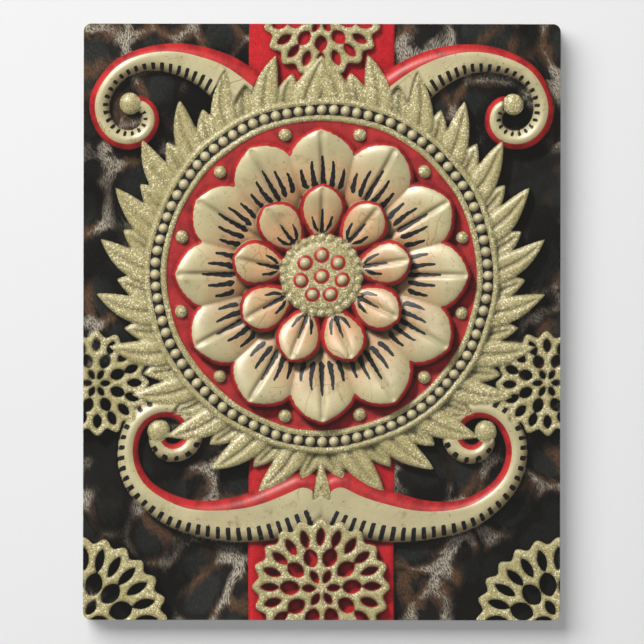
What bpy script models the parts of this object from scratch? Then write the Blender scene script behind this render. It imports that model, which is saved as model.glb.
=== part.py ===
"""Wall plaque: a fibreboard panel with rounded corners, a printed sheet bonded to its front,
and a keyhole slot routed in its back that drops over the head of a wall screw.

Metres, +Z up. The back lies in the plane Y = 0, against the wall, and the print faces -Y.
The origin is the top end of the keyhole slot, where the screw's shank carries the plaque.
"""

from math import asin, cos, pi, radians, sin

import bmesh
import bpy
from mathutils import Vector

# The plaque's outline
PLAQUE_WIDTH = 0.2032
PLAQUE_HEIGHT = 0.254
CORNER_RADIUS = 0.0032
CORNER_STEPS = 10

# Through the thickness, from the wall forward
BOARD_THICKNESS = 0.0087
BOND_GAP = 0.0003
SHEET_THICKNESS = 0.0005
BACK_EDGE_ROUND = 0.0008
BACK_EDGE_STEPS = 3

# The keyhole slot, as a keyhole bit cuts it for a 4 mm wall screw
SLOT_END_BELOW_TOP = 0.032
SLOT_TRAVEL = 0.015
HEAD_DIAMETER = 0.0100
SHANK_WIDTH = 0.0052
SLOT_DEPTH = 0.0060
LIP_THICKNESS = 0.0030
SLOT_ARC_STEPS = 12
CUTTER_OVERRUN = 0.0020

# Where the outline lies in the part's own frame
TOP_Z = SLOT_END_BELOW_TOP
CENTRE_Z = TOP_Z - PLAQUE_HEIGHT / 2
BOARD_FRONT_Y = -BOARD_THICKNESS
SHEET_BACK_Y = BOARD_FRONT_Y - BOND_GAP
SHEET_FRONT_Y = SHEET_BACK_Y - SHEET_THICKNESS


def clear_scene():
    """Remove every object that the file holds."""
    for obj in list(bpy.data.objects):
        bpy.data.objects.remove(obj, do_unlink=True)


def make_material(name, colour, roughness, metallic=0.0):
    """A plain Principled material."""
    material = bpy.data.materials.new(name)
    material.use_nodes = True
    shader = material.node_tree.nodes["Principled BSDF"]
    shader.inputs["Base Color"].default_value = (*colour, 1.0)
    shader.inputs["Roughness"].default_value = roughness
    shader.inputs["Metallic"].default_value = metallic
    material.diffuse_color = (*colour, 1.0)
    return material


def arc(centre_x, centre_z, radius, start, end, steps):
    """Points on an arc in the XZ plane, both ends included; angles in radians from +X towards +Z."""
    points = []
    for step in range(steps + 1):
        angle = start + (end - start) * step / steps
        points.append((centre_x + radius * cos(angle), centre_z + radius * sin(angle)))
    return points


def rounded_rectangle(width, height, radius, centre_z):
    """The plaque's outline, counter-clockwise as seen from the front."""
    reach_x = width / 2 - radius
    reach_z = height / 2 - radius
    corners = ((1, 1), (-1, 1), (-1, -1), (1, -1))
    outline = []
    for index, (side_x, side_z) in enumerate(corners):
        start = index * pi / 2
        outline += arc(
            side_x * reach_x,
            centre_z + side_z * reach_z,
            radius,
            start,
            start + pi / 2,
            CORNER_STEPS,
        )
    return outline


def extrude_outline(outline, near_y, far_y):
    """A bmesh prism of an XZ outline between two planes, near_y in front of far_y."""
    prism = bmesh.new()
    ring = [prism.verts.new((x, near_y, z)) for x, z in outline]
    front = prism.faces.new(ring)
    grown = bmesh.ops.extrude_face_region(prism, geom=[front])
    moved = [item for item in grown["geom"] if isinstance(item, bmesh.types.BMVert)]
    bmesh.ops.translate(prism, vec=Vector((0.0, far_y - near_y, 0.0)), verts=moved)
    bmesh.ops.recalc_face_normals(prism, faces=prism.faces)
    return prism


def add_object(name, shape, material=None):
    """Turn a bmesh into a named object with its material."""
    mesh = bpy.data.meshes.new(name)
    shape.to_mesh(mesh)
    shape.free()
    obj = bpy.data.objects.new(name, mesh)
    bpy.context.scene.collection.objects.link(obj)
    if material:
        mesh.materials.append(material)
    return obj


def shade(obj, angle=radians(30)):
    """Smooth the rounded faces and keep the flat ones crisp."""
    obj.data.shade_smooth()
    obj.data.set_sharp_from_angle(angle=angle)


def round_back_edges(prism):
    """Ease the edges round the back of the board, where it meets the wall."""
    rim = [edge for edge in prism.edges if all(abs(vert.co.y) < 1e-6 for vert in edge.verts)]
    bmesh.ops.bevel(
        prism,
        geom=rim,
        offset=BACK_EDGE_ROUND,
        offset_type="OFFSET",
        segments=BACK_EDGE_STEPS,
        profile=0.5,
        affect="EDGES",
        material=-1,
    )


def keyhole_paths():
    """The slot's four stretches of outline in XZ, each from left to right.

    below: the half circle under the head hole, shared by the mouth and the undercut.
    mouth: up the head hole, round the narrow neck and down again.
    undercut: the wide groove behind the lips, that the screw's head slides in.
    """
    head_radius = HEAD_DIAMETER / 2
    neck_radius = SHANK_WIDTH / 2
    # The shank's top rests at the origin, so the slot's last arc is centred one shank radius lower.
    top_z = -neck_radius
    hole_z = top_z - SLOT_TRAVEL
    neck_angle = asin(neck_radius / head_radius)
    half = SLOT_ARC_STEPS // 2
    below = arc(0.0, hole_z, head_radius, pi, 2 * pi, SLOT_ARC_STEPS)
    mouth = arc(0.0, hole_z, head_radius, pi, pi / 2 + neck_angle, half)
    mouth += arc(0.0, top_z, neck_radius, pi, 0.0, SLOT_ARC_STEPS)
    mouth += arc(0.0, hole_z, head_radius, pi / 2 - neck_angle, 0.0, half)
    undercut = [(-head_radius, hole_z)]
    undercut += arc(0.0, top_z, head_radius, pi, 0.0, SLOT_ARC_STEPS)
    undercut += [(head_radius, hole_z)]
    return below, mouth, undercut


def make_keyhole_cutter():
    """One closed cutter: the keyhole-shaped mouth through the lips, and the wide undercut behind them."""
    below, mouth, undercut = keyhole_paths()
    floor_y = -SLOT_DEPTH
    lip_y = -LIP_THICKNESS
    cutter = bmesh.new()

    def row(path, y):
        return [cutter.verts.new((x, y, z)) for x, z in path]

    def wall(lower, upper):
        for index in range(len(lower) - 1):
            cutter.faces.new((lower[index], lower[index + 1], upper[index + 1], upper[index]))

    # Rows share their first and last points, so the stretches that meet use the same vertices.
    below_floor, below_lip, below_out = (row(below, y) for y in (floor_y, lip_y, CUTTER_OVERRUN))
    under_floor = [below_floor[0], *row(undercut[1:-1], floor_y), below_floor[-1]]
    under_lip = [below_lip[0], *row(undercut[1:-1], lip_y), below_lip[-1]]
    mouth_lip = [below_lip[0], *row(mouth[1:-1], lip_y), below_lip[-1]]
    mouth_out = [below_out[0], *row(mouth[1:-1], CUTTER_OVERRUN), below_out[-1]]

    wall(below_floor, below_lip)
    wall(below_lip, below_out)
    wall(under_floor[::-1], under_lip[::-1])
    wall(mouth_lip[::-1], mouth_out[::-1])
    cutter.faces.new(below_floor[:-1] + under_floor[:0:-1])
    cutter.faces.new(below_out[:-1] + mouth_out[:0:-1])
    cutter.faces.new(under_lip[:-1] + mouth_lip[:0:-1])
    bmesh.ops.recalc_face_normals(cutter, faces=cutter.faces)

    obj = add_object("keyhole_cutter", cutter)
    obj.hide_render = True
    obj.display_type = "WIRE"
    return obj


def make_board():
    """The fibreboard panel, with its keyhole slot cut in the back."""
    outline = rounded_rectangle(PLAQUE_WIDTH, PLAQUE_HEIGHT, CORNER_RADIUS, CENTRE_Z)
    prism = extrude_outline(outline, BOARD_FRONT_Y, 0.0)
    round_back_edges(prism)
    board = add_object("board", prism, make_material("black_fibreboard", (0.020, 0.018, 0.017), 0.55))
    cut = board.modifiers.new("keyhole", "BOOLEAN")
    cut.operation = "DIFFERENCE"
    cut.solver = "EXACT"
    cut.object = make_keyhole_cutter()
    shade(board)
    return board


def make_printed_sheet():
    """The glossy printed sheet that covers the whole front."""
    outline = rounded_rectangle(PLAQUE_WIDTH, PLAQUE_HEIGHT, CORNER_RADIUS, CENTRE_Z)
    prism = extrude_outline(outline, SHEET_FRONT_Y, SHEET_BACK_Y)
    sheet = add_object("printed_sheet", prism, make_material("glossy_print", (0.30, 0.24, 0.15), 0.12))
    shade(sheet)
    return sheet


clear_scene()
make_board()
make_printed_sheet()
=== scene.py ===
"""Looks of the wall plaque: its printed front, its fibreboard and a wall to hang on.

Metres, +Z up. The plaque's back lies in the plane Y = 0 and its print faces -Y.
The print shows a made-up ornament: a painted and gilded lotus medallion on spotted hide. It is
drawn over the flat sheet as fields, one number for each point of the mesh, which the material reads.
"""

from collections import namedtuple
from functools import partialmethod
from math import copysign, pi, radians

import bmesh
import bpy
import numpy as np
from bpy.props import FloatProperty, FloatVectorProperty, IntProperty, PointerProperty
from mathutils import Matrix, Vector


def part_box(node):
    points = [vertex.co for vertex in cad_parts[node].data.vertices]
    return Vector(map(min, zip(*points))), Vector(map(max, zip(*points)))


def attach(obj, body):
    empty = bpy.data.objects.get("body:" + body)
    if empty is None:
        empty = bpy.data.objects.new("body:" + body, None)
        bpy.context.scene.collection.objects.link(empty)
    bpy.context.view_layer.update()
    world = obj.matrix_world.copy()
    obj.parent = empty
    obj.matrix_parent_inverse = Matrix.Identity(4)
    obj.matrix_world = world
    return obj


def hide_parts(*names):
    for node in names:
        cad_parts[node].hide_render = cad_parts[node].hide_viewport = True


bl_info = {
    "name": "Wall Plaque Looks",
    "version": (1, 0, 0),
    "blender": (4, 5, 0),
    "location": "View3D > Sidebar > Plaque",
    "description": "Prints, finishes and hangs a flat wall plaque",
    "category": "Object",
}

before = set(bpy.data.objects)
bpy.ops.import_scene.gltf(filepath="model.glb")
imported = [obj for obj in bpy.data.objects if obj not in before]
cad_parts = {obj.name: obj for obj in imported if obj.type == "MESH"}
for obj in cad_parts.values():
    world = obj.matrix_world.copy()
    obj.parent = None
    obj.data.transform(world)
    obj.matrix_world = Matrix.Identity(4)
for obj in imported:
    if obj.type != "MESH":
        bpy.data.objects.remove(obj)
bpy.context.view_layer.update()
BOARD_LOW, BOARD_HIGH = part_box("board")
SHEET_LOW, SHEET_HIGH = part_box("printed_sheet")
WIDTH = SHEET_HIGH.x - SHEET_LOW.x
HEIGHT = SHEET_HIGH.z - SHEET_LOW.z
MIDDLE_Z = (SHEET_HIGH.z + SHEET_LOW.z) / 2
MM = 0.001


def setting(kind, **limits):
    """A maker of one kind of setting, called with its name, default and description."""

    def make(name, default, description):
        return kind(name=name, description=description, default=default, **limits)

    return make


# Sizes in metres, plain factors, whole numbers and scene-linear colours
length = setting(FloatProperty, min=0.0, unit="LENGTH", precision=5)
share = setting(FloatProperty, min=0.0, max=1.0, subtype="FACTOR")
count = setting(IntProperty, min=3, max=200)
colour = setting(FloatVectorProperty, size=3, min=0.0, max=1.0, subtype="COLOR")


class PlaqueMedallion(bpy.types.PropertyGroup):
    """Sizes of the round flower in the middle of the print."""

    centre_height: length("Centre height", 0.020, "How far the flower's centre is above the print's")
    flame_tip: length("Flame tip", 0.096, "Radius that the gilded flames reach")
    flame_root: length("Flame root", 0.066, "Radius that the gilded flames start from")
    flame_width: length("Flame width", 0.0125, "Width of a flame at its widest")
    flame_count: count("Flames", 26, "Gilded flames in each of the two rings")
    rim_outer: length("Rim outside", 0.0755, "Outer radius of the beaded rim")
    rim_inner: length("Rim inside", 0.0660, "Inner radius of the beaded rim")
    bead_count: count("Beads", 88, "Beads in the whole rim")
    bead_radius: length("Bead radius", 0.0021, "Radius of a bead in the rim")
    outer_petal_tip: length("Outer petal tip", 0.0635, "Radius that the outer petals reach")
    outer_petal_width: length("Outer petal width", 0.0305, "Width of an outer petal")
    outer_petal_count: count("Outer petals", 12, "Petals in the outer ring")
    inner_petal_tip: length("Inner petal tip", 0.0390, "Radius that the inner petals reach")
    inner_petal_width: length("Inner petal width", 0.0195, "Width of an inner petal")
    inner_petal_count: count("Inner petals", 9, "Petals in the inner ring")
    pod_radius: length("Seed pod radius", 0.0175, "Radius of the gilded seed pod")
    seed_radius: length("Seed radius", 0.0033, "Radius of a painted seed")
    seed_count: count("Seeds", 7, "Seeds in the ring round the middle one")


class PlaquePalette(bpy.types.PropertyGroup):
    """Colours of the paints and grounds that the print shows."""

    cream: colour("Cream paint", (0.63, 0.565, 0.31), "Petals, beads and scrolls")
    warm_cream: colour("Warm cream", (0.62, 0.52, 0.29), "Where the cream paint has yellowed")
    # The stain colour is also the brown of the painted shade in the cream paint.
    stain_and_shade: colour("Stain", (0.27, 0.17, 0.07), "Brown stains and grime in the cream paint")
    gold: colour("Gilding", (0.53, 0.46, 0.21), "Glitter gilding, middle tone")
    glint: colour("Glint", (1.0, 0.95, 0.60), "Brightest grains of the gilding")
    dull: colour("Dull gold", (0.30, 0.235, 0.080), "Darkest grains of the gilding")
    red: colour("Red paint", (0.62, 0.029, 0.029), "Red linings and edges")
    deep_red: colour("Deep red", (0.22, 0.008, 0.014), "Worn and shaded red")
    orange: colour("Orange paint", (0.72, 0.34, 0.15), "Rubbed into the cream at the petals' roots")
    black: colour("Black paint", (0.014, 0.014, 0.017), "Line work")
    cloth: colour("Sash", (0.66, 0.020, 0.028), "Red woven sash")
    hide: colour("Hide", (0.012, 0.011, 0.010), "Black hair round the spots")
    hide_spot: colour("Hide spot", (0.025, 0.0265, 0.0245), "The spots, where the hair shines")
    hide_brown: colour("Hide brown", (0.118, 0.062, 0.033), "Brown net between the spots")
    hide_pale: colour("Hide pale", (0.47, 0.425, 0.34), "Pale tufts where the net's strands meet")
    ink: colour("Ink black", (0.0085, 0.0082, 0.0074), "The darkest that the print can get")
    gleam: colour("Gleam", (1.0, 0.97, 0.88), "Highlights on the paints and the gilding")


class PlaqueSheet(bpy.types.PropertyGroup):
    """The printed sheet itself."""

    pitch: length("Point spacing", 0.00076, "Spacing of the points that carry the picture")
    corner: length("Corner radius", 0.0032, "Radius of the sheet's corners")
    base: colour("Sheet edge", (0.58, 0.56, 0.52), "The white base that shows at the sheet's edge")
    adhesive: colour("Adhesive", (0.030, 0.028, 0.027), "Dark line between the sheet and the board")
    roughness: share("Film roughness", 0.08, "Roughness of the gloss film")
    exposure: share("Exposure", 0.81, "How bright the photograph is printed")


class PlaqueBoard(bpy.types.PropertyGroup):
    """The fibreboard's finish."""

    sealed: colour("Sealed edge", (0.022, 0.020, 0.019), "Black sealer on the edges and back")
    worn: colour("Thin sealer", (0.046, 0.042, 0.039), "Where the sealer is thin over the fibres")
    dust: colour("Dust", (0.16, 0.15, 0.135), "Specks of dust caught in the sealer")
    raw: colour("Raw fibre", (0.46, 0.31, 0.18), "Cut fibre inside the keyhole slot")
    charred: colour("Cut marks", (0.20, 0.115, 0.055), "Darker marks that the cutter leaves")


class PlaqueStage(bpy.types.PropertyGroup):
    """The wall, the floor and the light."""

    wall: colour("Wall", (0.80, 0.80, 0.80), "Pale wall behind the plaque")
    floor: colour("Floor", (0.78, 0.78, 0.77), "Pale floor far below")
    floor_glow: share("Floor glow", 0.96, "How bright the floor looks by itself")
    room_seen: share("Room", 0.90, "How bright the room looks past the wall and floor")
    room_light: share("Room light", 0.10, "How bright the light is that the room gives")
    wall_size: length("Wall size", 2.0, "Width and height of the wall")
    floor_size: length("Floor size", 40.0, "Width and depth of the floor")
    gap: length("Wall gap", 0.0003, "From the plaque's back to the wall")
    drop: length("Floor below", 1.5, "From the plaque's middle down to the floor")
    distance: length("Camera distance", 1.6, "From the lens to the print")
    frame_width: length("Frame width", 0.2744, "Width that the picture takes in at the print")


def ramp(value, low, high):
    """0 up to low and 1 from high on, with a smooth curve between them."""
    step = np.clip((value - low) / (high - low), 0.0, 1.0)
    return step * step * (3.0 - 2.0 * step)


def spoke(radius, angle, number, turn=0.0):
    """Place of a point along and beside the nearest of several evenly spaced spokes.

    turn shifts the spokes, as a share of the angle between two of them.
    """
    step = 2 * pi / number
    off = (angle - turn * step + step / 2) % step - step / 2
    return radius * np.cos(off), radius * np.sin(off)


def disc(along, beside, centre, radius):
    """Distance inside a circle whose centre lies on the spoke."""
    return radius - np.hypot(along - centre, beside)


def beads(polar, number, centre, radius, turn=0.0):
    """Distance inside the nearest of several small circles in a ring."""
    return disc(*spoke(*polar, number, turn), centre, radius)


def band(radius, inner, outer):
    """Distance inside a ring."""
    return np.minimum(radius - inner, outer - radius)


def lens(along, beside, root, tip, width):
    """Distance inside a leaf between two arcs, pointed at both ends."""
    half_length = (tip - root) / 2
    arc = (half_length**2 + (width / 2) ** 2) / width
    return arc - np.hypot(along - (root + tip) / 2, np.abs(beside) + arc - width / 2)


def petal(along, beside, root, tip, width, fullness):
    """Distance inside a leaf that is widest towards its tip where fullness is over 1."""
    part = np.clip((along - root) / (tip - root), 0.0, 1.2)
    return lens(root + (tip - root) * part**fullness, beside, root, tip, width)


PAINTS = ("hide", "cloth", "gold", "cream", "red", "black")
FAR = 10 * MM  # A distance past any that a paint's edge is blended over
HAND_WANDER = 0.3 * MM


class Carving:
    """The ornament in the picture, laid layer on layer over a set of points.

    height is how far each point stands out of the ground. cover gives each paint the distance
    to the edge of what it covers, above zero where it shows. blush is how much orange is rubbed
    into the cream. waver, from -1 to 1, is how a brush strays from its line.
    """

    def __init__(self, x, z):
        def wave(across, upward, shift=0.0):
            return np.sin(x * across + z * upward + shift)

        self.x = x + HAND_WANDER * (wave(0, 61, 1.3) + 0.6 * wave(97, -143) + 0.5 * wave(210, 171))
        self.z = z + HAND_WANDER * (wave(73, 0, 2.1) + 0.6 * wave(131, 89) + 0.5 * wave(189, -233))
        sideways = np.sin(x * 1900 + 2 * np.sin(z * 830))
        self.waver = (sideways + np.sin(z * 2300 + 2 * np.sin(x * 710))) / 2
        self.height = np.zeros(x.shape)
        self.blush = np.zeros(x.shape)
        self.cover = {paint: np.full(x.shape, -FAR) for paint in PAINTS}
        self.cover["hide"] = np.full(x.shape, FAR)

    def paint(self, name, inside):
        """Paint an area without changing its height."""
        self.blush = np.where(inside > 0, 0.0, self.blush)
        for paint in PAINTS:
            if paint == name:
                self.cover[paint] = np.maximum(self.cover[paint], inside)
            else:
                self.cover[paint] = np.minimum(self.cover[paint], -inside)

    def raise_to(self, inside, level, bulge=0.0, rounding=MM):
        """Give an area a level and a rounded swelling that starts at its edge."""
        part = np.clip(inside / rounding, 0.0, 1.0)
        top = level + bulge * np.sqrt(np.clip(1 - (1 - part) ** 2, 0.0, 1.0))
        self.height = np.where(inside > 0, top, self.height)

    def lay(self, name, inside, level, bulge=0.0, rounding=MM):
        """Lay a painted piece on what is there already."""
        self.raise_to(inside, level, bulge, rounding)
        self.paint(name, inside)


Scroll = namedtuple("Scroll", "start heading reach bend tightening root tip level")
SCROLLS = (
    Scroll((8 * MM, -76 * MM), 2.0, 164 * MM, -8.6, 3.0, 12.5 * MM, 3.2 * MM, 3 * MM),
    Scroll((26 * MM, 90 * MM), 0.75, 134 * MM, 9.6, 2.9, 12.0 * MM, 3.0 * MM, 3 * MM),
)
# Where a scroll's red lining and black ticks begin, between its middle line, 0, and its edges, 1
LINING_FROM = 0.45
TICKS_FROM = 0.35
TICK_SPACING = 4 * MM
TICK_THINNING = 0.15 * MM

Disc = namedtuple("Disc", "x z radius lobes level")
DISCS = (
    Disc(96 * MM, -26 * MM, 21 * MM, 16, 5 * MM),
    Disc(101 * MM, -127 * MM, 34 * MM, 24, 5 * MM),
    Disc(0.0, -113 * MM, 28 * MM, 20, 7 * MM),
    Disc(0.0, 130 * MM, 24 * MM, 18, 5 * MM),
)
SASH_HALF_WIDTH = 31 * MM


def scroll_path(shape, steps=70):
    """Points of a curve that bends ever tighter towards its end."""
    step = shape.reach / steps
    bend = shape.bend * np.exp(shape.tightening * (np.arange(steps) + 0.5) / steps)
    heading = shape.heading + np.concatenate([[0.0], np.cumsum(bend[:-1]) * step])
    walked = np.cumsum([np.sin(heading), np.cos(heading)], axis=1).T * step
    return np.array(shape.start) + np.concatenate([[(0.0, 0.0)], walked])


def along_path(x, z, path, half_widths):
    """Distance inside a tapering stroke, how far along it a point is, and how far to its side."""
    inside = np.full(x.shape, -FAR)
    nearest = np.full(x.shape, np.inf)
    travel = np.zeros(x.shape)
    side = np.zeros(x.shape)
    last = len(path) - 1
    for index in range(last):
        start, run = path[index], path[index + 1] - path[index]
        near = np.clip(((x - start[0]) * run[0] + (z - start[1]) * run[1]) / run.dot(run), 0.0, 1.0)
        off_x = x - start[0] - near * run[0]
        off_z = z - start[1] - near * run[1]
        distance = np.hypot(off_x, off_z)
        half = half_widths[index] + (half_widths[index + 1] - half_widths[index]) * near
        inside = np.maximum(inside, half - distance)
        # Coils lie side by side, so a point only measures from one that reaches it.
        closer = (distance < nearest) & (distance < half + 2 * MM)
        nearest = np.where(closer, distance, nearest)
        travel = np.where(closer, (index + near) / last, travel)
        leaning = np.sign(run[0] * off_z - run[1] * off_x)
        side = np.where(closer, leaning * distance / half, side)
    return inside, travel, side


def draw_ground(carving):
    """Folds of the hide and the red sash that lies on it."""
    x, z = carving.x, carving.z
    carving.height = 1.2 * MM * np.sin(x * 55 + 1.7 * np.sin(z * 38))
    carving.height += 0.8 * MM * np.sin(z * 71 + 1.3 * np.sin(x * 47))
    sash = SASH_HALF_WIDTH - np.abs(x)
    carving.lay("cloth", sash, 1.5 * MM, bulge=0.8 * MM, rounding=3 * MM)
    ripple = 0.5 * MM * np.sin(x * 420 + 2.0 * np.sin(z * 40))
    carving.height += np.where(sash > 0, ripple, 0.0)


def draw_scroll(carving, shape):
    """A pair of cream scrolls with red linings, and black ticks along their outer edges."""
    x, z = np.abs(carving.x), carving.z
    path = scroll_path(shape)
    steps = np.linspace(0.0, 1.0, len(path))
    taper = shape.root + (shape.tip - shape.root) * steps
    inside, travel, side = along_path(x, z, path, taper * (0.8 + 0.2 * np.cos(2 * pi * steps)))
    carving.lay("cream", inside, shape.level, bulge=5 * MM, rounding=5 * MM)
    half = shape.root + (shape.tip - shape.root) * travel
    carving.paint("red", np.minimum(inside, (side - LINING_FROM) * half))
    wave = np.sin(travel * shape.reach / TICK_SPACING * 2 * pi)
    ticks = 0.85 * MM * wave * (1 + 0.3 * carving.waver) - TICK_THINNING
    margin = np.minimum(inside - 0.5 * MM, (-side - TICKS_FROM) * half)
    carving.paint("black", np.minimum(margin, ticks))
    knob = shape.tip * 1.5
    inside = disc(x - path[-1][0], z - path[-1][1], 0.0, knob)
    carving.lay("gold", inside, shape.level + MM, bulge=3 * MM, rounding=knob)


def draw_disc(carving, shape):
    """A scalloped gilded disc with three rings of leaf-shaped holes, mirrored if off the middle."""
    x, z = np.abs(carving.x) - shape.x, carving.z - shape.z
    radius, angle = np.hypot(x, z), np.arctan2(x, z)
    edge = shape.radius + 1.3 * MM * np.cos(angle * shape.lobes) - radius
    holes = np.full(radius.shape, -FAR)
    # Each ring's number of holes, its turn, and their ends and width as shares of the radius
    rings = (
        (shape.lobes, 0.0, 0.62, 0.92, 0.88 * pi / shape.lobes),
        (shape.lobes // 2, 0.5, 0.32, 0.62, 0.22),
        (6, 0.5, 0.08, 0.30, 0.12),
    )
    for number, turn, root, tip, width in rings:
        along, beside = spoke(radius, angle, number, turn)
        hole = lens(along, beside, root * shape.radius, tip * shape.radius, width * shape.radius)
        holes = np.maximum(holes, hole)
    carving.lay("gold", np.minimum(edge, -holes), shape.level, bulge=MM, rounding=1.1 * MM)


Strokes = namedtuple("Strokes", "start width places")
OUTER_STROKES = Strokes(0.38, 1.30 * MM, ((0.0, 0.35), (0.30, 0.29), (0.60, 0.21)))
INNER_STROKES = Strokes(0.24, 1.05 * MM, ((0.0, 0.40), (0.48, 0.28)))


def brush_strokes(inside, part, beside, strokes, waver):
    """Distance inside black strokes that spread from a petal's root and taper.

    Each has a place between the petal's middle line, 0, and its edge, 1, and a reach. A tip stays
    wide enough for the mesh to carry.
    """
    half_width = inside + np.abs(beside)
    covered = np.full(inside.shape, -FAR)
    for place, reach in strokes.places:
        off = np.abs(np.abs(beside) - place * half_width)
        travel = (part - strokes.start) / reach
        rounded = np.sqrt(np.clip(travel / 0.15, 0.0, 1.0))
        taper = np.minimum(1 - 0.65 * travel, 12 * (1 - travel)) * rounded
        covered = np.maximum(covered, strokes.width * taper * (1 + 0.25 * waver) - off)
    return np.minimum(covered, (part - strokes.start) * 25 * MM)


PETAL_CUP = 5 * MM  # How far a petal's tip stands above its root
PETAL_GROOVE = 1.2 * MM
PETAL_EDGING = 1.5 * MM


def draw_petals(carving, polar, petals, number, level, strokes, blush_end):
    """A ring of cupped cream petals that blush orange, with red edges and black brush strokes."""
    root, tip, width = petals
    along, beside = spoke(*polar, number)
    inside = petal(along, beside, root, tip, width, fullness=1.5)
    part = np.clip((along - root) / (tip - root), 0.0, 1.0)
    carving.paint("cream", inside)
    carving.blush = np.where(inside > 0, 1 - ramp(part, 0.30, blush_end), carving.blush)
    carving.raise_to(inside, level + PETAL_CUP * part**2, bulge=4 * MM, rounding=width * 0.32)
    groove = PETAL_GROOVE * np.exp(-((beside / PETAL_GROOVE) ** 2)) * ramp(inside, MM, 4 * MM)
    carving.height -= np.where(inside > 0, groove, 0.0)
    edging = PETAL_EDGING + 0.22 * MM * carving.waver
    carving.paint("red", np.minimum(inside, edging - inside))
    brushed = brush_strokes(inside, part, beside, strokes, carving.waver)
    carving.paint("black", np.minimum(inside - 2.6 * MM, brushed))


def draw_flames(carving, polar, flames, number, turn, curl, level):
    """A ring of gilded leaves, cut to a point and curled, each with a line scored down it."""
    root, tip, width = flames
    radius, angle = polar
    reach = np.clip((radius - root) / (tip - root), 0.0, 1.3)
    along, beside = spoke(radius, angle + curl * reach**1.5, number, turn)
    inside = petal(along, beside, root, tip, width, fullness=0.8)
    carving.lay("gold", inside, level, bulge=1.6 * MM, rounding=3 * MM)
    scored = np.exp(-((beside / (0.8 * MM)) ** 2)) * ramp(inside, 1.2 * MM, 2.6 * MM)
    carving.height -= 1.3 * MM * scored


RIM_TRIM = 2.5 * MM
STUD_RADIUS = 2.7 * MM
KNOB_COUNT = 26
KNOB_RADIUS = 1.9 * MM
SEED_RING = 8.8 * MM


def draw_medallion(carving, sizes):
    """The flower: flames, a beaded rim, studs, two rings of petals and a seed pod."""
    x, z = np.abs(carving.x), carving.z - sizes.centre_height
    radius = np.hypot(x, z)
    polar = (radius, np.arctan2(x, z))

    back_flames = (sizes.flame_root, sizes.flame_tip - 9 * MM, sizes.flame_width * 0.9)
    draw_flames(carving, polar, back_flames, sizes.flame_count, turn=0.0, curl=0.10, level=4.5 * MM)
    front_flames = (sizes.flame_root, sizes.flame_tip, sizes.flame_width)
    draw_flames(carving, polar, front_flames, sizes.flame_count, turn=0.5, curl=0.16, level=6 * MM)

    rim_level, rim_middle = 8 * MM, (sizes.rim_outer + sizes.rim_inner) / 2
    carving.lay("black", sizes.rim_outer - radius, rim_level)
    for edge in (sizes.rim_outer, sizes.rim_inner + RIM_TRIM):
        trim = band(radius, edge - RIM_TRIM, edge)
        carving.lay("gold", trim, rim_level, bulge=1.2 * MM, rounding=1.2 * MM)
    rim_beads = beads(polar, sizes.bead_count, rim_middle, sizes.bead_radius)
    carving.lay("cream", rim_beads, rim_level + 0.5 * MM, bulge=2.2 * MM, rounding=2 * MM)
    carving.lay("red", sizes.rim_inner - radius, rim_level)

    ring = sizes.rim_inner - 4.2 * MM
    studs = beads(polar, sizes.outer_petal_count, ring, STUD_RADIUS, turn=0.5)
    carving.lay("gold", studs, rim_level + 0.5 * MM, bulge=STUD_RADIUS, rounding=STUD_RADIUS)
    outer = (20 * MM, sizes.outer_petal_tip, sizes.outer_petal_width)
    draw_petals(carving, polar, outer, sizes.outer_petal_count, 9 * MM, OUTER_STROKES, blush_end=0.86)
    inner = (11 * MM, sizes.inner_petal_tip, sizes.inner_petal_width)
    draw_petals(carving, polar, inner, sizes.inner_petal_count, 13 * MM, INNER_STROKES, blush_end=1.10)

    carving.lay("gold", sizes.pod_radius - radius, 14 * MM, bulge=4 * MM, rounding=8 * MM)
    knobs = beads(polar, KNOB_COUNT, sizes.pod_radius - 1.5 * MM, KNOB_RADIUS)
    carving.lay("gold", knobs, 15.5 * MM, bulge=2 * MM, rounding=KNOB_RADIUS)
    seeds = beads(polar, sizes.seed_count, SEED_RING, sizes.seed_radius)
    seeds = np.maximum(seeds, sizes.seed_radius - radius)
    carving.lay("red", seeds, 17.5 * MM, bulge=0.6 * MM)
    carving.lay("cream", seeds - 1.1 * MM, 18 * MM, bulge=2 * MM, rounding=2.2 * MM)


def draw_picture(x, z, sizes):
    """The whole ornament over points given from the print's middle."""
    carving = Carving(x, z)
    draw_ground(carving)
    for shape in SCROLLS:
        draw_scroll(carving, shape)
    for shape in DISCS:
        draw_disc(carving, shape)
    draw_medallion(carving, sizes)
    return carving


class Raster:
    """A field on an even grid over the print, in rows from the bottom up."""

    def __init__(self, pitch):
        self.pitch = pitch
        self.columns = round(WIDTH / pitch) + 1
        self.rows = round(HEIGHT / pitch) + 1
        across = (np.arange(self.columns) - (self.columns - 1) / 2) * pitch
        upward = (np.arange(self.rows) - (self.rows - 1) / 2) * pitch
        self.x, self.z = np.meshgrid(across, upward)

    def blurred(self, field, radius, passes=2):
        """The field averaged over a square, repeated to soften the square's corners."""
        reach = max(1, round(radius / self.pitch))
        window = 2 * reach + 1
        for _ in range(2 * passes):
            padded = np.pad(field, ((reach + 1, reach), (0, 0)), mode="edge")
            total = np.cumsum(padded, axis=0)
            field = ((total[window:] - total[:-window]) / window).T
        return field

    def sampled(self, field, x, z):
        """The field at any points, between the grid's own, with its edges repeated."""

        def cell(place, number):
            at = np.clip(place / self.pitch + (number - 1) / 2, 0, number - 1)
            first = np.minimum(at.astype(int), number - 2)
            return first, at - first

        def between(row):
            return field[row, left] * (1 - right) + field[row, left + 1] * right

        left, right = cell(x, self.columns)
        low, up = cell(z, self.rows)
        return between(low) * (1 - up) + between(low + 1) * up


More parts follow.
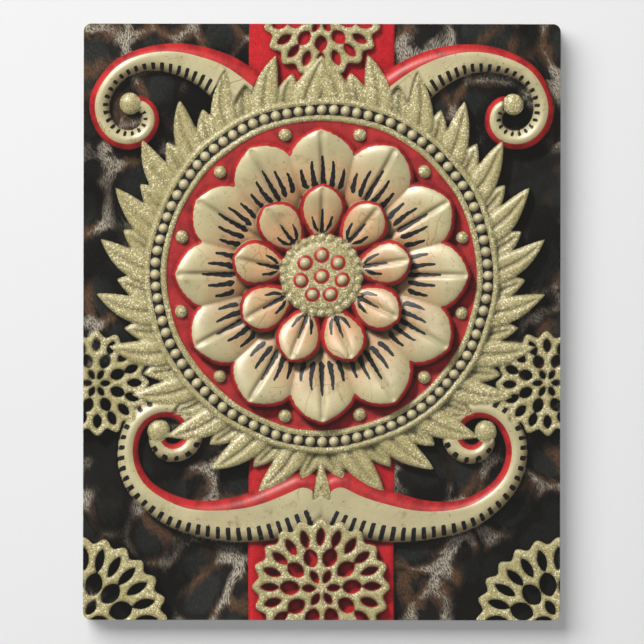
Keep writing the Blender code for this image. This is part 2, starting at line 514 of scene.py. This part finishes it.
PICTURE_SUN = Vector((-0.42, 0.62, 0.72)).normalized()
SUNLIGHT = 0.95
SKYLIGHT = 0.36
SHADOW_STEPS = 33
SHADOW_STRIDE = 0.45 * MM
HOLLOW_SIZES = (1.2 * MM, 3.5 * MM, 9 * MM)
EDGE_WEAR = 0.25 * MM
LENS_BLUR = 0.3 * MM


def light_picture(raster, height):
    """Light and gloss that a photograph of the carved ornament would show.

    The sun's third number points out of the picture, towards whoever looks at it.
    """
    height = raster.blurred(height, EDGE_WEAR, 1)
    slope_z, slope_x = np.gradient(height, raster.pitch)
    tilt = 1 / np.sqrt(1 + slope_x**2 + slope_z**2)

    def facing(way):
        return np.clip((way.z - slope_x * way.x - slope_z * way.y) * tilt, 0.0, 1.0)

    # Look from each point towards the sun for anything that stands higher than the ray.
    run = PICTURE_SUN / PICTURE_SUN.xy.length
    lit = np.ones(height.shape)
    for step in range(1, SHADOW_STEPS + 1):
        away = SHADOW_STRIDE * step**1.08
        ahead = raster.sampled(height, raster.x + run.x * away, raster.z + run.y * away)
        above = ahead - height - run.z * away
        lit = np.minimum(lit, 1 - ramp(above, -0.10 * away - 0.1 * MM, 0.12 * away + 0.3 * MM))

    # Hollows get less of the soft light: they lie lower than what is round them.
    hidden = np.zeros(height.shape)
    for radius in HOLLOW_SIZES:
        around = raster.blurred(height, radius) - height
        hidden += 0.37 * np.clip(around / radius, -0.3, 1.0)
    open_sky = np.clip(1 - 1.25 * hidden, 0.12, 1.15)

    # The gloss has a wide faint highlight with a small sharp one in it.
    mirror = facing((PICTURE_SUN + Vector((0.0, 0.0, 1.0))).normalized())
    gleam = (0.5 * mirror**30 + mirror**160) * lit
    light = SKYLIGHT * open_sky + SUNLIGHT * facing(PICTURE_SUN) * lit
    return raster.blurred(light, LENS_BLUR, 1), raster.blurred(gleam, LENS_BLUR, 1)


class Recipe:
    """One material's nodes, added step by step. A value is a number, a colour or a socket."""

    def __init__(self, name):
        self.material = bpy.data.materials.new(name)
        self.material.use_nodes = True
        self.tree = self.material.node_tree
        self.shader = self.tree.nodes["Principled BSDF"]
        self.place = self.node("TexCoord").outputs["Object"]

    def set(self, socket, value):
        """Link a socket to another, or give it a plain value."""
        if isinstance(value, bpy.types.NodeSocket):
            self.tree.links.new(value, socket)
        elif socket.type == "RGBA":
            socket.default_value = (*value, 1.0)
        else:
            socket.default_value = value

    def finish(self, sockets):
        """Set the shader's own sockets by name."""
        for name, value in sockets.items():
            self.set(self.shader.inputs[name], value)
        return self.material

    def node(self, kind, inputs=(), **settings):
        """Add one shader node with its settings and its inputs by name or number."""
        made = self.tree.nodes.new("ShaderNode" + kind)
        for name, value in settings.items():
            setattr(made, name, value)
        for name, value in dict(inputs).items():
            self.set(made.inputs[name], value)
        return made

    def math(self, operation, first, second=0.0, *others):
        """One step of arithmetic, and one more for each number past the second."""
        for other in (second, *others):
            first = self.node("Math", {0: first, 1: other}, operation=operation).outputs[0]
        return first

    plus = partialmethod(math, "ADD")
    minus = partialmethod(math, "SUBTRACT")
    times = partialmethod(math, "MULTIPLY")
    least = partialmethod(math, "MINIMUM")
    most = partialmethod(math, "MAXIMUM")

    def fade(self, value, low, high, start=0.0, end=1.0):
        """A smooth step from start to end as the value goes from low to high."""
        inputs = {"Value": value, 1: low, 2: high, 3: start, 4: end}
        return self.node("MapRange", inputs, interpolation_type="SMOOTHSTEP").outputs[0]

    def mix(self, factor, first, second):
        """Mix two colours."""
        return self.node("Mix", {0: factor, 6: first, 7: second}, data_type="RGBA").outputs[2]

    def scaled(self, colour_value, strength):
        """A colour made brighter or darker by a number."""
        inputs = {0: colour_value, "Scale": strength}
        return self.node("VectorMath", inputs, operation="SCALE").outputs[0]

    def vector(self, operation, first, second=(0.0, 0.0, 0.0)):
        """One step of arithmetic on two colours or two places."""
        return self.node("VectorMath", {0: first, 1: second}, operation=operation).outputs[0]

    def parts(self, place):
        """The three numbers of a place."""
        return self.node("SeparateXYZ", {0: place}).outputs

    def stretched(self, lengths, turn=0.0, place=None):
        """Coordinates that draw a pattern out along each axis and then turn it about Y."""
        inputs = {"Vector": place or self.place, "Scale": lengths, "Rotation": (0.0, turn, 0.0)}
        return self.node("Mapping", inputs, vector_type="TEXTURE").outputs[0]

    def swept(self, direction, amount):
        """Coordinates moved in a direction by an amount that differs from place to place."""
        return self.vector("ADD", self.place, self.scaled(direction, amount))

    def noise(self, scale, detail=2.0, roughness=0.5, place=None):
        """Cloudy noise from 0 to 1."""
        inputs = {"Scale": scale, "Detail": detail, "Roughness": roughness}
        return self.node("TexNoise", {"Vector": place or self.place, **inputs}).outputs[0]

    def cells(self, scale, output, place=None, **settings):
        """One output of a cell pattern."""
        inputs = {"Vector": place or self.place, "Scale": scale}
        return self.node("TexVoronoi", inputs, **settings).outputs[output]

    def field(self, name):
        """A number that the mesh carries at each point."""
        return self.node("Attribute", attribute_name=name).outputs["Fac"]


def hide_paint(recipe, palette):
    """Spotted hide: black spots in a ragged brown net, pale tufts where its strands meet, painted
    sheen, glints and shade.
    """
    combed = recipe.swept((0.030, 0.0, 0.018), recipe.noise(24.0))
    hairs = recipe.noise(2100.0, 2.0, 0.8, recipe.stretched((1.0, 1.0, 3.6), -0.22, combed))
    tufts = recipe.noise(420.0, 3.0, 0.6, recipe.stretched((1.0, 1.0, 3.0), -0.22, combed))
    spots = recipe.stretched((1.0, 1.0, 1.2), 0.3, combed)
    ragged = recipe.times(recipe.minus(tufts, 0.5), 0.36)
    from_middle = recipe.plus(recipe.cells(60.0, "Distance", spots), ragged)
    net = recipe.cells(60.0, "Distance", spots, feature="DISTANCE_TO_EDGE")
    from_net = recipe.plus(net, ragged)

    clouds = recipe.noise(30.0, 2.0)
    patchy = recipe.fade(clouds, 0.38, 0.54)
    # The spots' middles take a greyer black: a painted sheen where the hair shines.
    black = recipe.mix(recipe.fade(from_middle, 0.48, 0.34), palette.hide, palette.hide_spot)
    browned = recipe.times(recipe.fade(from_net, 0.20, 0.01), patchy)
    brown = recipe.mix(browned, black, palette.hide_brown)
    meeting = recipe.times(recipe.fade(from_middle, 0.52, 0.68), recipe.fade(from_net, 0.17, 0.06))
    pale = recipe.times(meeting, patchy, recipe.fade(hairs, 0.38, 0.56))
    # Painted glints: sparse bright specks along single hairs, mixed up to a third of the way to the
    # pale colour.
    hair_glints = recipe.fade(hairs, 0.74, 0.82, 0.0, 0.35)
    coat = recipe.mix(recipe.most(pale, hair_glints), brown, palette.hide_pale)
    strands = recipe.fade(hairs, 0.34, 0.70, 0.62, 1.45)
    # Painted shade: where the clouds are low, the hide is darkened to about a third, as if it lay in
    # deep shadow.
    shade_patches = recipe.fade(clouds, 0.38, 0.54, 0.35, 1.0)
    return recipe.scaled(coat, recipe.times(strands, shade_patches))


def cloth_paint(recipe, palette):
    """Red woven cloth with slubs."""
    weft = recipe.noise(2600.0, 1.0, 0.5, recipe.stretched((6.0, 1.0, 1.0)))
    warp = recipe.noise(2600.0, 1.0, 0.5, recipe.stretched((1.0, 1.0, 6.0)))
    threads = recipe.fade(recipe.plus(weft, warp), 0.7, 1.3, 0.82, 1.14)
    cloudy = recipe.fade(recipe.noise(60.0, 3.0), 0.2, 0.8, 0.92, 1.06)
    return recipe.scaled(palette.cloth, recipe.times(cloudy, threads))


def gold_paint(recipe, palette):
    """Gilding full of glitter: each grain catches the light by itself."""
    grain = recipe.cells(2000.0, "Color")
    spark = recipe.node("SeparateColor", {0: grain}).outputs[0]
    speckle = recipe.noise(1500.0, 2.0, 0.6)
    cloudy = recipe.noise(75.0, 3.0)
    body = recipe.mix(recipe.fade(speckle, 0.30, 0.60), palette.dull, palette.gold)
    thick = recipe.fade(cloudy, 0.36, 0.56, 0.25, 1.0)
    bright = recipe.times(recipe.fade(spark, 0.70, 0.92), thick)
    return recipe.mix(bright, body, recipe.mix(0.14, palette.glint, grain))


def cream_paint(recipe, palette):
    """Old cream paint: cloudy, stained and rubbed, with fine cracks and pits, and painted brown shade
    where the picture's light is low.
    """
    cloudy = recipe.noise(55.0, 4.0, 0.6)
    tone = recipe.fade(cloudy, 0.25, 0.75, 0.84, 1.12)
    yellowed = recipe.mix(recipe.noise(28.0, 2.0), palette.cream, palette.warm_cream)
    mottled = recipe.fade(recipe.noise(160.0, 4.0, 0.6), 0.30, 0.62, 0.55, 0.95)
    rubbed = recipe.times(recipe.field("blush"), mottled)
    cream = recipe.scaled(recipe.mix(rubbed, yellowed, palette.orange), tone)
    stained = recipe.fade(recipe.noise(130.0, 6.0, 0.7), 0.54, 0.74, 0.0, 0.75)
    pits = recipe.fade(recipe.noise(760.0, 2.0, 0.6), 0.66, 0.72, 0.0, 0.8)
    flakes = recipe.stretched((1.0, 1.0, 1.6), 0.0, recipe.swept((0.012, 0.0, 0.010), cloudy))
    crack = recipe.cells(80.0, "Distance", flakes, feature="DISTANCE_TO_EDGE")
    aged = recipe.fade(cloudy, 0.48, 0.58, 0.0, 0.6)
    cracked = recipe.times(recipe.fade(crack, 0.016, 0.004), aged)
    # Painted shade: the cream turns towards brown where the picture's light field is low, in its
    # hollows and shadows.
    painted_shade = recipe.fade(recipe.field("light"), 0.95, 0.30, 0.0, 0.75)
    return recipe.mix(recipe.most(stained, pits, cracked, painted_shade), cream, palette.stain_and_shade)


def red_paint(recipe, palette):
    """Red paint, thin and darker in patches."""
    patches = recipe.noise(180.0, 4.0, 0.65)
    scuffs = recipe.fade(recipe.noise(1100.0, 2.0), 0.68, 0.78, 0.0, 0.6)
    body = recipe.mix(recipe.fade(patches, 0.40, 0.68, 0.0, 0.7), palette.red, palette.deep_red)
    return recipe.mix(scuffs, body, palette.deep_red)


def black_paint(recipe, palette):
    """Black line work that has rubbed thin here and there."""
    rubbed = recipe.fade(recipe.noise(700.0, 3.0, 0.6), 0.60, 0.75, 0.0, 0.35)
    return recipe.mix(rubbed, palette.black, palette.stain_and_shade)


EDGE_SOFTNESS = 0.14 * MM
HIDE_GLOSS = 0.03


def picture_material(palette, sheet):
    """The printed front: paints where their fields say, the picture's own light, and gloss film."""
    recipe = Recipe("picture_print")
    paints = {
        "cloth": (cloth_paint, 0.05),
        "gold": (gold_paint, 0.45),
        "cream": (cream_paint, 0.65),
        "red": (red_paint, 0.28),
        "black": (black_paint, 0.25),
    }
    surface = hide_paint(recipe, palette)
    shine = HIDE_GLOSS
    for name, (paint, gloss) in paints.items():
        covered = recipe.fade(recipe.field("cover_" + name), -EDGE_SOFTNESS, EDGE_SOFTNESS)
        surface = recipe.mix(covered, surface, paint(recipe, palette))
        shine = recipe.plus(shine, recipe.times(covered, recipe.minus(gloss, shine)))
    lit = recipe.scaled(surface, recipe.times(recipe.field("light"), sheet.exposure))
    gleam = recipe.scaled(palette.gleam, recipe.times(recipe.field("gleam"), shine))
    printed = recipe.vector("ADD", recipe.vector("ADD", lit, gleam), palette.ink)
    film = {"Coat Weight": 1.0, "Coat Roughness": sheet.roughness}
    return recipe.finish({"Base Color": printed, "Specular IOR Level": 0.0, "Roughness": 0.5} | film)


def sheet_edge_material(sheet):
    """The print's white base where it is cut, with the dark line of adhesive behind it."""
    recipe = Recipe("print_edge")
    depth = recipe.parts(recipe.place)["Y"]
    fibres = recipe.noise(900.0, 3.0, 0.6, recipe.stretched((4.0, 1.0, 4.0)))
    base = recipe.scaled(sheet.base, recipe.fade(fibres, 0.3, 0.7, 0.82, 1.05))
    glued = recipe.fade(depth, SHEET_HIGH.y - 0.04 * MM, SHEET_HIGH.y + 0.04 * MM)
    return recipe.finish({"Base Color": recipe.mix(glued, base, sheet.adhesive), "Roughness": 0.45})


# The block of the board that holds the keyhole slot, and how sharply its finish changes there
SLOT_HALF_WIDTH = 5.2 * MM
SLOT_TOP = 2.6 * MM
SLOT_BOTTOM = -22.8 * MM
SLOT_EDGE = 0.1 * MM

# Where a screw head that misses the slot scrapes the back: the middle, and how far from it the
# scrapes end and are at their worst
SCRAPE_MIDDLE = -16 * MM
SCRAPE_SIDEWAYS = (11 * MM, 4 * MM)
SCRAPE_UPRIGHT = (17 * MM, 6 * MM)

# Where knocks at the four corners begin and are at their worst, in from the outline
KNOCKS_BEGIN = 18 * MM
KNOCKS_WORST = 2 * MM


def in_slot(recipe, across, depth, upward):
    """1 on the walls and floor of the keyhole slot, and 0 on the board's outside."""
    beside = recipe.fade(recipe.math("ABSOLUTE", across), SLOT_HALF_WIDTH + SLOT_EDGE, SLOT_HALF_WIDTH)
    below = recipe.fade(upward, SLOT_TOP + SLOT_EDGE, SLOT_TOP)
    above = recipe.fade(upward, SLOT_BOTTOM - SLOT_EDGE, SLOT_BOTTOM)
    sunk = recipe.fade(depth, BOARD_HIGH.y - SLOT_EDGE, BOARD_HIGH.y - 2 * SLOT_EDGE)
    return recipe.times(beside, below, above, sunk)


def rubbed_bare(recipe, depth, corner):
    """How far the sealer is rubbed off the board's long edges, most of all at its four corners."""
    off = recipe.vector("ABSOLUTE", recipe.vector("SUBTRACT", recipe.place, (0.0, 0.0, MIDDLE_Z)))
    reach = (WIDTH / 2 - corner, 1.0, HEIGHT / 2 - corner)
    over = recipe.vector("MAXIMUM", recipe.vector("SUBTRACT", off, reach))
    from_core = recipe.node("VectorMath", {0: over}, operation="LENGTH").outputs["Value"]
    # The long edges lie within a millimetre of the outline, and of the back or the front.
    outline = recipe.fade(from_core, corner - 1.0 * MM, corner - 0.5 * MM)
    back = recipe.fade(depth, BOARD_HIGH.y - 0.9 * MM, BOARD_HIGH.y - 0.2 * MM)
    front = recipe.fade(depth, BOARD_LOW.y + 0.5 * MM, BOARD_LOW.y + 0.1 * MM)
    arris = recipe.times(outline, recipe.most(back, front))

    side, _, end = recipe.parts(off)
    near_side = recipe.fade(side, WIDTH / 2 - KNOCKS_BEGIN, WIDTH / 2 - KNOCKS_WORST)
    near_end = recipe.fade(end, HEIGHT / 2 - KNOCKS_BEGIN, HEIGHT / 2 - KNOCKS_WORST)
    knocked = recipe.times(recipe.least(near_side, near_end), 0.14)
    chips = recipe.plus(recipe.noise(240.0, 5.0, 0.7), knocked)
    return recipe.times(arris, recipe.fade(chips, 0.64, 0.70, 0.0, 0.75))


def board_material(settings, corner):
    """Black sealer rolled over fibreboard, rubbed at its edges, with raw cut fibre in the keyhole."""
    recipe = Recipe("sealed_fibreboard")
    across, depth, upward = recipe.parts(recipe.place)

    # The roller leaves fine peaks and long faint streaks, over felted fibres that lie every way.
    peel = recipe.noise(1300.0, 2.0, 0.5)
    level = recipe.noise(1500.0, 3.0, 0.6, recipe.stretched((6.0, 1.0, 1.0), 0.35))
    steep = recipe.noise(1500.0, 3.0, 0.6, recipe.stretched((1.0, 1.0, 6.0), 0.2))
    fibres = recipe.most(level, steep)
    rolled = recipe.noise(60.0, 3.0, 0.5, recipe.stretched((1.0, 1.0, 6.0)))
    thin = recipe.plus(recipe.times(fibres, 0.5), recipe.times(rolled, 0.5))
    sealed = recipe.mix(recipe.fade(thin, 0.44, 0.68), settings.sealed, settings.worn)
    specks = recipe.fade(recipe.noise(520.0, 2.0, 0.5), 0.735, 0.76, 0.0, 0.5)
    sealed = recipe.mix(specks, sealed, settings.dust)

    beside = recipe.fade(recipe.math("ABSOLUTE", across), *SCRAPE_SIDEWAYS)
    from_middle = recipe.math("ABSOLUTE", recipe.minus(upward, SCRAPE_MIDDLE))
    along = recipe.fade(from_middle, *SCRAPE_UPRIGHT)
    scrapes = recipe.noise(620.0, 3.0, 0.6, recipe.stretched((1.0, 1.0, 12.0), 0.25))
    scraped = recipe.times(recipe.fade(scrapes, 0.60, 0.68, 0.0, 0.35), beside, along)
    bare = recipe.most(rubbed_bare(recipe, depth, corner), scraped)

    slot = in_slot(recipe, across, depth, upward)
    marks = recipe.fade(recipe.noise(500.0, 3.0, 0.6, recipe.stretched((6.0, 1.0, 6.0))), 0.35, 0.65)
    cut = recipe.mix(marks, settings.charred, settings.raw)
    body = recipe.mix(bare, sealed, settings.raw)

    streaked = recipe.fade(rolled, 0.3, 0.7, 0.50, 0.34)
    matt = recipe.plus(streaked, recipe.fade(fibres, 0.45, 0.75, 0.0, 0.12))
    dry = recipe.times(recipe.most(slot, bare), 0.9)
    skin = recipe.plus(peel, recipe.times(fibres, 0.6))
    bump = recipe.node("Bump", {"Height": skin, "Strength": 0.6, "Distance": 0.12 * MM})
    return recipe.finish(
        {
            "Base Color": recipe.mix(slot, body, cut),
            "Roughness": recipe.most(matt, dry),
            "Normal": bump.outputs[0],
        }
    )


def add_piece(name, shape, materials):
    """Turn a bmesh into an object at the origin."""
    mesh = bpy.data.meshes.new(name)
    shape.to_mesh(mesh)
    shape.free()
    for material in materials:
        mesh.materials.append(material)
    piece = bpy.data.objects.new(name, mesh)
    bpy.context.scene.collection.objects.link(piece)
    return piece


def round_corner(vertex, radius):
    """Draw a square corner of the flat sheet in to an arc."""
    reach_x, reach_z = WIDTH / 2 - radius, HEIGHT / 2 - radius
    over_x, over_z = abs(vertex.co.x) - reach_x, abs(vertex.co.z) - reach_z
    if over_x > 0 and over_z > 0:
        shrink = max(over_x, over_z) / (over_x**2 + over_z**2) ** 0.5
        vertex.co.x = copysign(reach_x + over_x * shrink, vertex.co.x)
        vertex.co.z = copysign(reach_z + over_z * shrink, vertex.co.z)


def build_sheet(settings):
    """The sheet from the front of its film back to the board, with a fine grid over its front."""
    sheet = bmesh.new()
    columns, rows = round(WIDTH / settings.pitch), round(HEIGHT / settings.pitch)
    bmesh.ops.create_grid(sheet, x_segments=columns, y_segments=rows, size=0.5)
    bmesh.ops.scale(sheet, vec=Vector((WIDTH, HEIGHT, 1.0)), verts=sheet.verts)
    upright = Matrix.Rotation(radians(90), 3, "X")
    bmesh.ops.rotate(sheet, cent=Vector(), matrix=upright, verts=sheet.verts)
    for vertex in sheet.verts:
        round_corner(vertex, settings.corner)
    bmesh.ops.translate(sheet, vec=Vector((0.0, SHEET_LOW.y, MIDDLE_Z)), verts=sheet.verts)

    outline = [edge for edge in sheet.edges if edge.is_boundary]
    grown = bmesh.ops.extrude_edge_only(sheet, edges=outline)["geom"]
    back = [item for item in grown if isinstance(item, bmesh.types.BMVert)]
    bmesh.ops.translate(sheet, vec=Vector((0.0, BOARD_LOW.y - SHEET_LOW.y, 0.0)), verts=back)
    rim = [edge for edge in sheet.edges if edge.is_boundary]
    bmesh.ops.edgeloop_fill(sheet, edges=rim)
    bmesh.ops.recalc_face_normals(sheet, faces=sheet.faces)
    # Extruding leaves the rim's faces in an order that changes from run to run.
    sheet.faces.sort(key=lambda face: face.calc_center_median().dot((1.0, 1.0, 1000.0)))
    for face in sheet.faces:
        face.material_index = 0 if face.normal.y < -0.5 else 1
    lay_out_map(sheet)
    return sheet


BAKE_MARGIN = 0.004
RIM_COLUMN = 0.022


def lay_out_map(sheet):
    """A map for baked materials that gives the picture four fifths of the room.

    The four sides of the rim stand in columns beside it, and the back is shrunk beside them.
    """
    layer = sheet.loops.layers.uv.new("OFBake")
    scale = (1.0 - 2 * BAKE_MARGIN) / HEIGHT
    picture_end = BAKE_MARGIN + WIDTH * scale
    step = RIM_COLUMN + 2 * BAKE_MARGIN
    back_scale = (1.0 - picture_end - 4 * step - 2 * BAKE_MARGIN) / WIDTH
    for face in sheet.faces:
        normal = face.normal
        # The rim's left side is 0, its right 1, its bottom 2 and its top 3.
        side = 2 * (abs(normal.z) > abs(normal.x)) + (normal.x + normal.z > 0)
        column = picture_end + 2 * BAKE_MARGIN + side * step
        for loop in face.loops:
            across, depth, upward = loop.vert.co - SHEET_LOW
            if normal.y < -0.5:
                place = (BAKE_MARGIN + across * scale, BAKE_MARGIN + upward * scale)
            elif normal.y > 0.5:
                left = picture_end + 4 * step + BAKE_MARGIN
                place = (left + across * back_scale, BAKE_MARGIN + upward * back_scale)
            else:
                along = across if side > 1 else upward
                part = depth / (BOARD_LOW.y - SHEET_LOW.y)
                place = (column + part * RIM_COLUMN, BAKE_MARGIN + along * scale)
            loop[layer].uv = place


PICTURE_PITCH = 0.25 * MM


def draw_on(mesh, sizes):
    """Work the picture out for every point of the sheet."""
    points = np.zeros(len(mesh.vertices) * 3, np.float32)
    mesh.vertices.foreach_get("co", points)
    points = points.reshape(-1, 3).astype(float)
    x, z = points[:, 0], points[:, 2] - MIDDLE_Z
    carving = draw_picture(x, z, sizes)
    raster = Raster(PICTURE_PITCH)
    light, gleam = light_picture(raster, draw_picture(raster.x, raster.z, sizes).height)
    fields = {"cover_" + paint: carving.cover[paint] for paint in PAINTS[1:]}
    fields["blush"] = carving.blush
    fields["light"] = raster.sampled(light, x, z)
    fields["gleam"] = raster.sampled(gleam, x, z)
    for name, values in fields.items():
        attribute = mesh.attributes.new(name, "FLOAT", "POINT")
        attribute.data.foreach_set("value", values.astype(np.float32))


class PLAQUE_OT_print(bpy.types.Operator):
    """Build the printed sheet and draw the picture on it"""

    bl_idname = "plaque.print_sheet"
    bl_label = "Printed Sheet"

    def execute(self, context):
        scene = context.scene
        settings = scene.plaque_sheet
        materials = (picture_material(scene.plaque_palette, settings), sheet_edge_material(settings))
        piece = add_piece("picture_print", build_sheet(settings), materials)
        draw_on(piece.data, scene.plaque_medallion)
        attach(piece, "root")
        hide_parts("printed_sheet")
        return {"FINISHED"}


class PLAQUE_OT_board(bpy.types.Operator):
    """Seal the fibreboard's edges and back"""

    bl_idname = "plaque.finish_board"
    bl_label = "Fibreboard"

    def execute(self, context):
        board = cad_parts["board"]
        scene = context.scene
        material = board_material(scene.plaque_board, scene.plaque_sheet.corner)
        for slot in board.material_slots:
            slot.material = material
        return {"FINISHED"}


def stage_paint(name, tint, glow):
    """Matt paint that only the camera sees, from its front, so that it hides and tints nothing."""
    recipe = Recipe(name)
    recipe.finish({"Base Color": tint, "Roughness": 1.0, "Specular IOR Level": 0.0})
    recipe.finish({"Emission Color": tint, "Emission Strength": glow})
    seen = recipe.node("LightPath").outputs["Is Camera Ray"]
    behind = recipe.node("NewGeometry").outputs["Backfacing"]
    shown = recipe.times(seen, recipe.minus(1.0, behind))
    clear = recipe.node("BsdfTransparent").outputs[0]
    mixed = recipe.node("MixShader", {0: shown, 1: clear, 2: recipe.shader.outputs[0]})
    recipe.set(recipe.tree.nodes["Material Output"].inputs["Surface"], mixed.outputs[0])
    return recipe.material


def stage_plane(name, size, matrix, tint, glow=0.0):
    """A flat stage piece that isn't part of the plaque."""
    plane = bmesh.new()
    bmesh.ops.create_grid(plane, x_segments=1, y_segments=1, size=size / 2, matrix=matrix)
    piece = add_piece(name, plane, [stage_paint(name, tint, glow)])


Softbox = namedtuple("Softbox", "name place faces_wall size watts glossy")
SOFTBOXES = (
    Softbox("stage_key", (-2.31, -2.03, 3.04), True, (3.80, 4.53), 340.0, True),
    Softbox("stage_fill", (0.0, -3.0, 0.0), True, (0.5, 0.5), 25.5, False),
    Softbox("stage_rear", (0.5, 2.3, 1.1), False, (1.8, 1.8), 45.0, True),
    Softbox("stage_left", (-2.0, 0.9, 0.2), False, (1.0, 1.0), 30.0, True),
    Softbox("stage_right", (2.0, 0.9, 0.2), False, (1.0, 1.0), 30.0, True),
)


def add_softbox(box, middle):
    """A soft light placed from the print's middle, square to the wall or turned to the plaque."""
    data = bpy.data.lights.new(box.name, "AREA")
    data.shape = "RECTANGLE"
    data.size, data.size_y = box.size
    data.energy = box.watts
    light = bpy.data.objects.new(box.name, data)
    place = Vector(box.place)
    facing = Vector((0.0, 1.0, 0.0)) if box.faces_wall else -place
    light.location = middle + place
    light.rotation_euler = facing.to_track_quat("-Z", "Y").to_euler()
    light.visible_camera = False
    light.visible_glossy = box.glossy
    bpy.context.scene.collection.objects.link(light)


def light_room(scene, settings):
    """White surroundings that look brighter than the light they give."""
    world = bpy.data.worlds.new("stage_world")
    world.use_nodes = True
    tree = world.node_tree
    sky = tree.nodes["Background"]
    sky.inputs["Color"].default_value = (1.0, 1.0, 1.0, 1.0)
    strength = tree.nodes.new("ShaderNodeMapRange")
    strength.inputs["To Min"].default_value = settings.room_light
    strength.inputs["To Max"].default_value = settings.room_seen
    path = tree.nodes.new("ShaderNodeLightPath")
    tree.links.new(path.outputs["Is Camera Ray"], strength.inputs["Value"])
    tree.links.new(strength.outputs[0], sky.inputs["Strength"])
    scene.world = world


CAMERA_SHIFT_RIGHT = 0.07 * MM
CAMERA_SHIFT_DOWN = 0.02 * MM
CAMERA_ROLL = radians(-0.085)


def add_camera(scene, settings, middle):
    """A camera straight in front of the print, a hair to the right, low and rolled."""
    data = bpy.data.cameras.new("stage_camera")
    data.sensor_width = 36.0
    data.lens = data.sensor_width * settings.distance / settings.frame_width
    camera = bpy.data.objects.new("stage_camera", data)
    camera.location = middle + Vector((CAMERA_SHIFT_RIGHT, -settings.distance, -CAMERA_SHIFT_DOWN))
    camera.rotation_euler = (radians(90), CAMERA_ROLL, 0.0)
    scene.collection.objects.link(camera)
    scene.camera = camera


class PLAQUE_OT_stage(bpy.types.Operator):
    """Hang the plaque on a pale wall under soft light, with the camera straight in front"""

    bl_idname = "plaque.set_stage"
    bl_label = "Wall, Light and Camera"

    def execute(self, context):
        scene = context.scene
        settings = scene.plaque_stage
        middle = Vector((0.0, SHEET_LOW.y, MIDDLE_Z))

        wall = Matrix.Translation((0.0, BOARD_HIGH.y + settings.gap, MIDDLE_Z))
        wall = wall @ Matrix.Rotation(radians(90), 4, "X")
        stage_plane("stage_wall", settings.wall_size, wall, settings.wall)
        floor = Matrix.Translation((0.0, 0.0, MIDDLE_Z - settings.drop))
        stage_plane("stage_floor", settings.floor_size, floor, settings.floor, settings.floor_glow)
        for box in SOFTBOXES:
            add_softbox(box, middle)
        light_room(scene, settings)
        add_camera(scene, settings, middle)
        scene.view_settings.view_transform = "Standard"
        return {"FINISHED"}


class PLAQUE_PT_panel(bpy.types.Panel):
    """The plaque's sizes, colours and build steps"""

    bl_label = "Wall Plaque"
    bl_idname = "PLAQUE_PT_panel"
    bl_space_type = "VIEW_3D"
    bl_region_type = "UI"
    bl_category = "Plaque"

    def draw(self, context):
        scene = context.scene
        steps = (
            (PLAQUE_OT_print, (scene.plaque_sheet, scene.plaque_medallion, scene.plaque_palette)),
            (PLAQUE_OT_board, (scene.plaque_board,)),
            (PLAQUE_OT_stage, (scene.plaque_stage,)),
        )
        for operator, groups in steps:
            box = self.layout.box()
            box.operator(operator.bl_idname)
            for group in groups:
                for name in group.__annotations__:
                    box.prop(group, name)


SETTINGS = {
    "plaque_medallion": PlaqueMedallion,
    "plaque_palette": PlaquePalette,
    "plaque_sheet": PlaqueSheet,
    "plaque_board": PlaqueBoard,
    "plaque_stage": PlaqueStage,
}
CLASSES = (*SETTINGS.values(), PLAQUE_OT_print, PLAQUE_OT_board, PLAQUE_OT_stage, PLAQUE_PT_panel)


def register():
    """Add the settings, operators and panel to Blender."""
    for kind in CLASSES:
        bpy.utils.register_class(kind)
    for name, group in SETTINGS.items():
        setattr(bpy.types.Scene, name, PointerProperty(type=group))


def unregister():
    """Take them out again."""
    for name in SETTINGS:
        delattr(bpy.types.Scene, name)
    for kind in reversed(CLASSES):
        bpy.utils.unregister_class(kind)


def main():
    """Build the plaque and its stage."""
    register()
    bpy.ops.plaque.print_sheet()
    bpy.ops.plaque.finish_board()
    bpy.ops.plaque.set_stage()


if __name__ == "__main__":
    main()
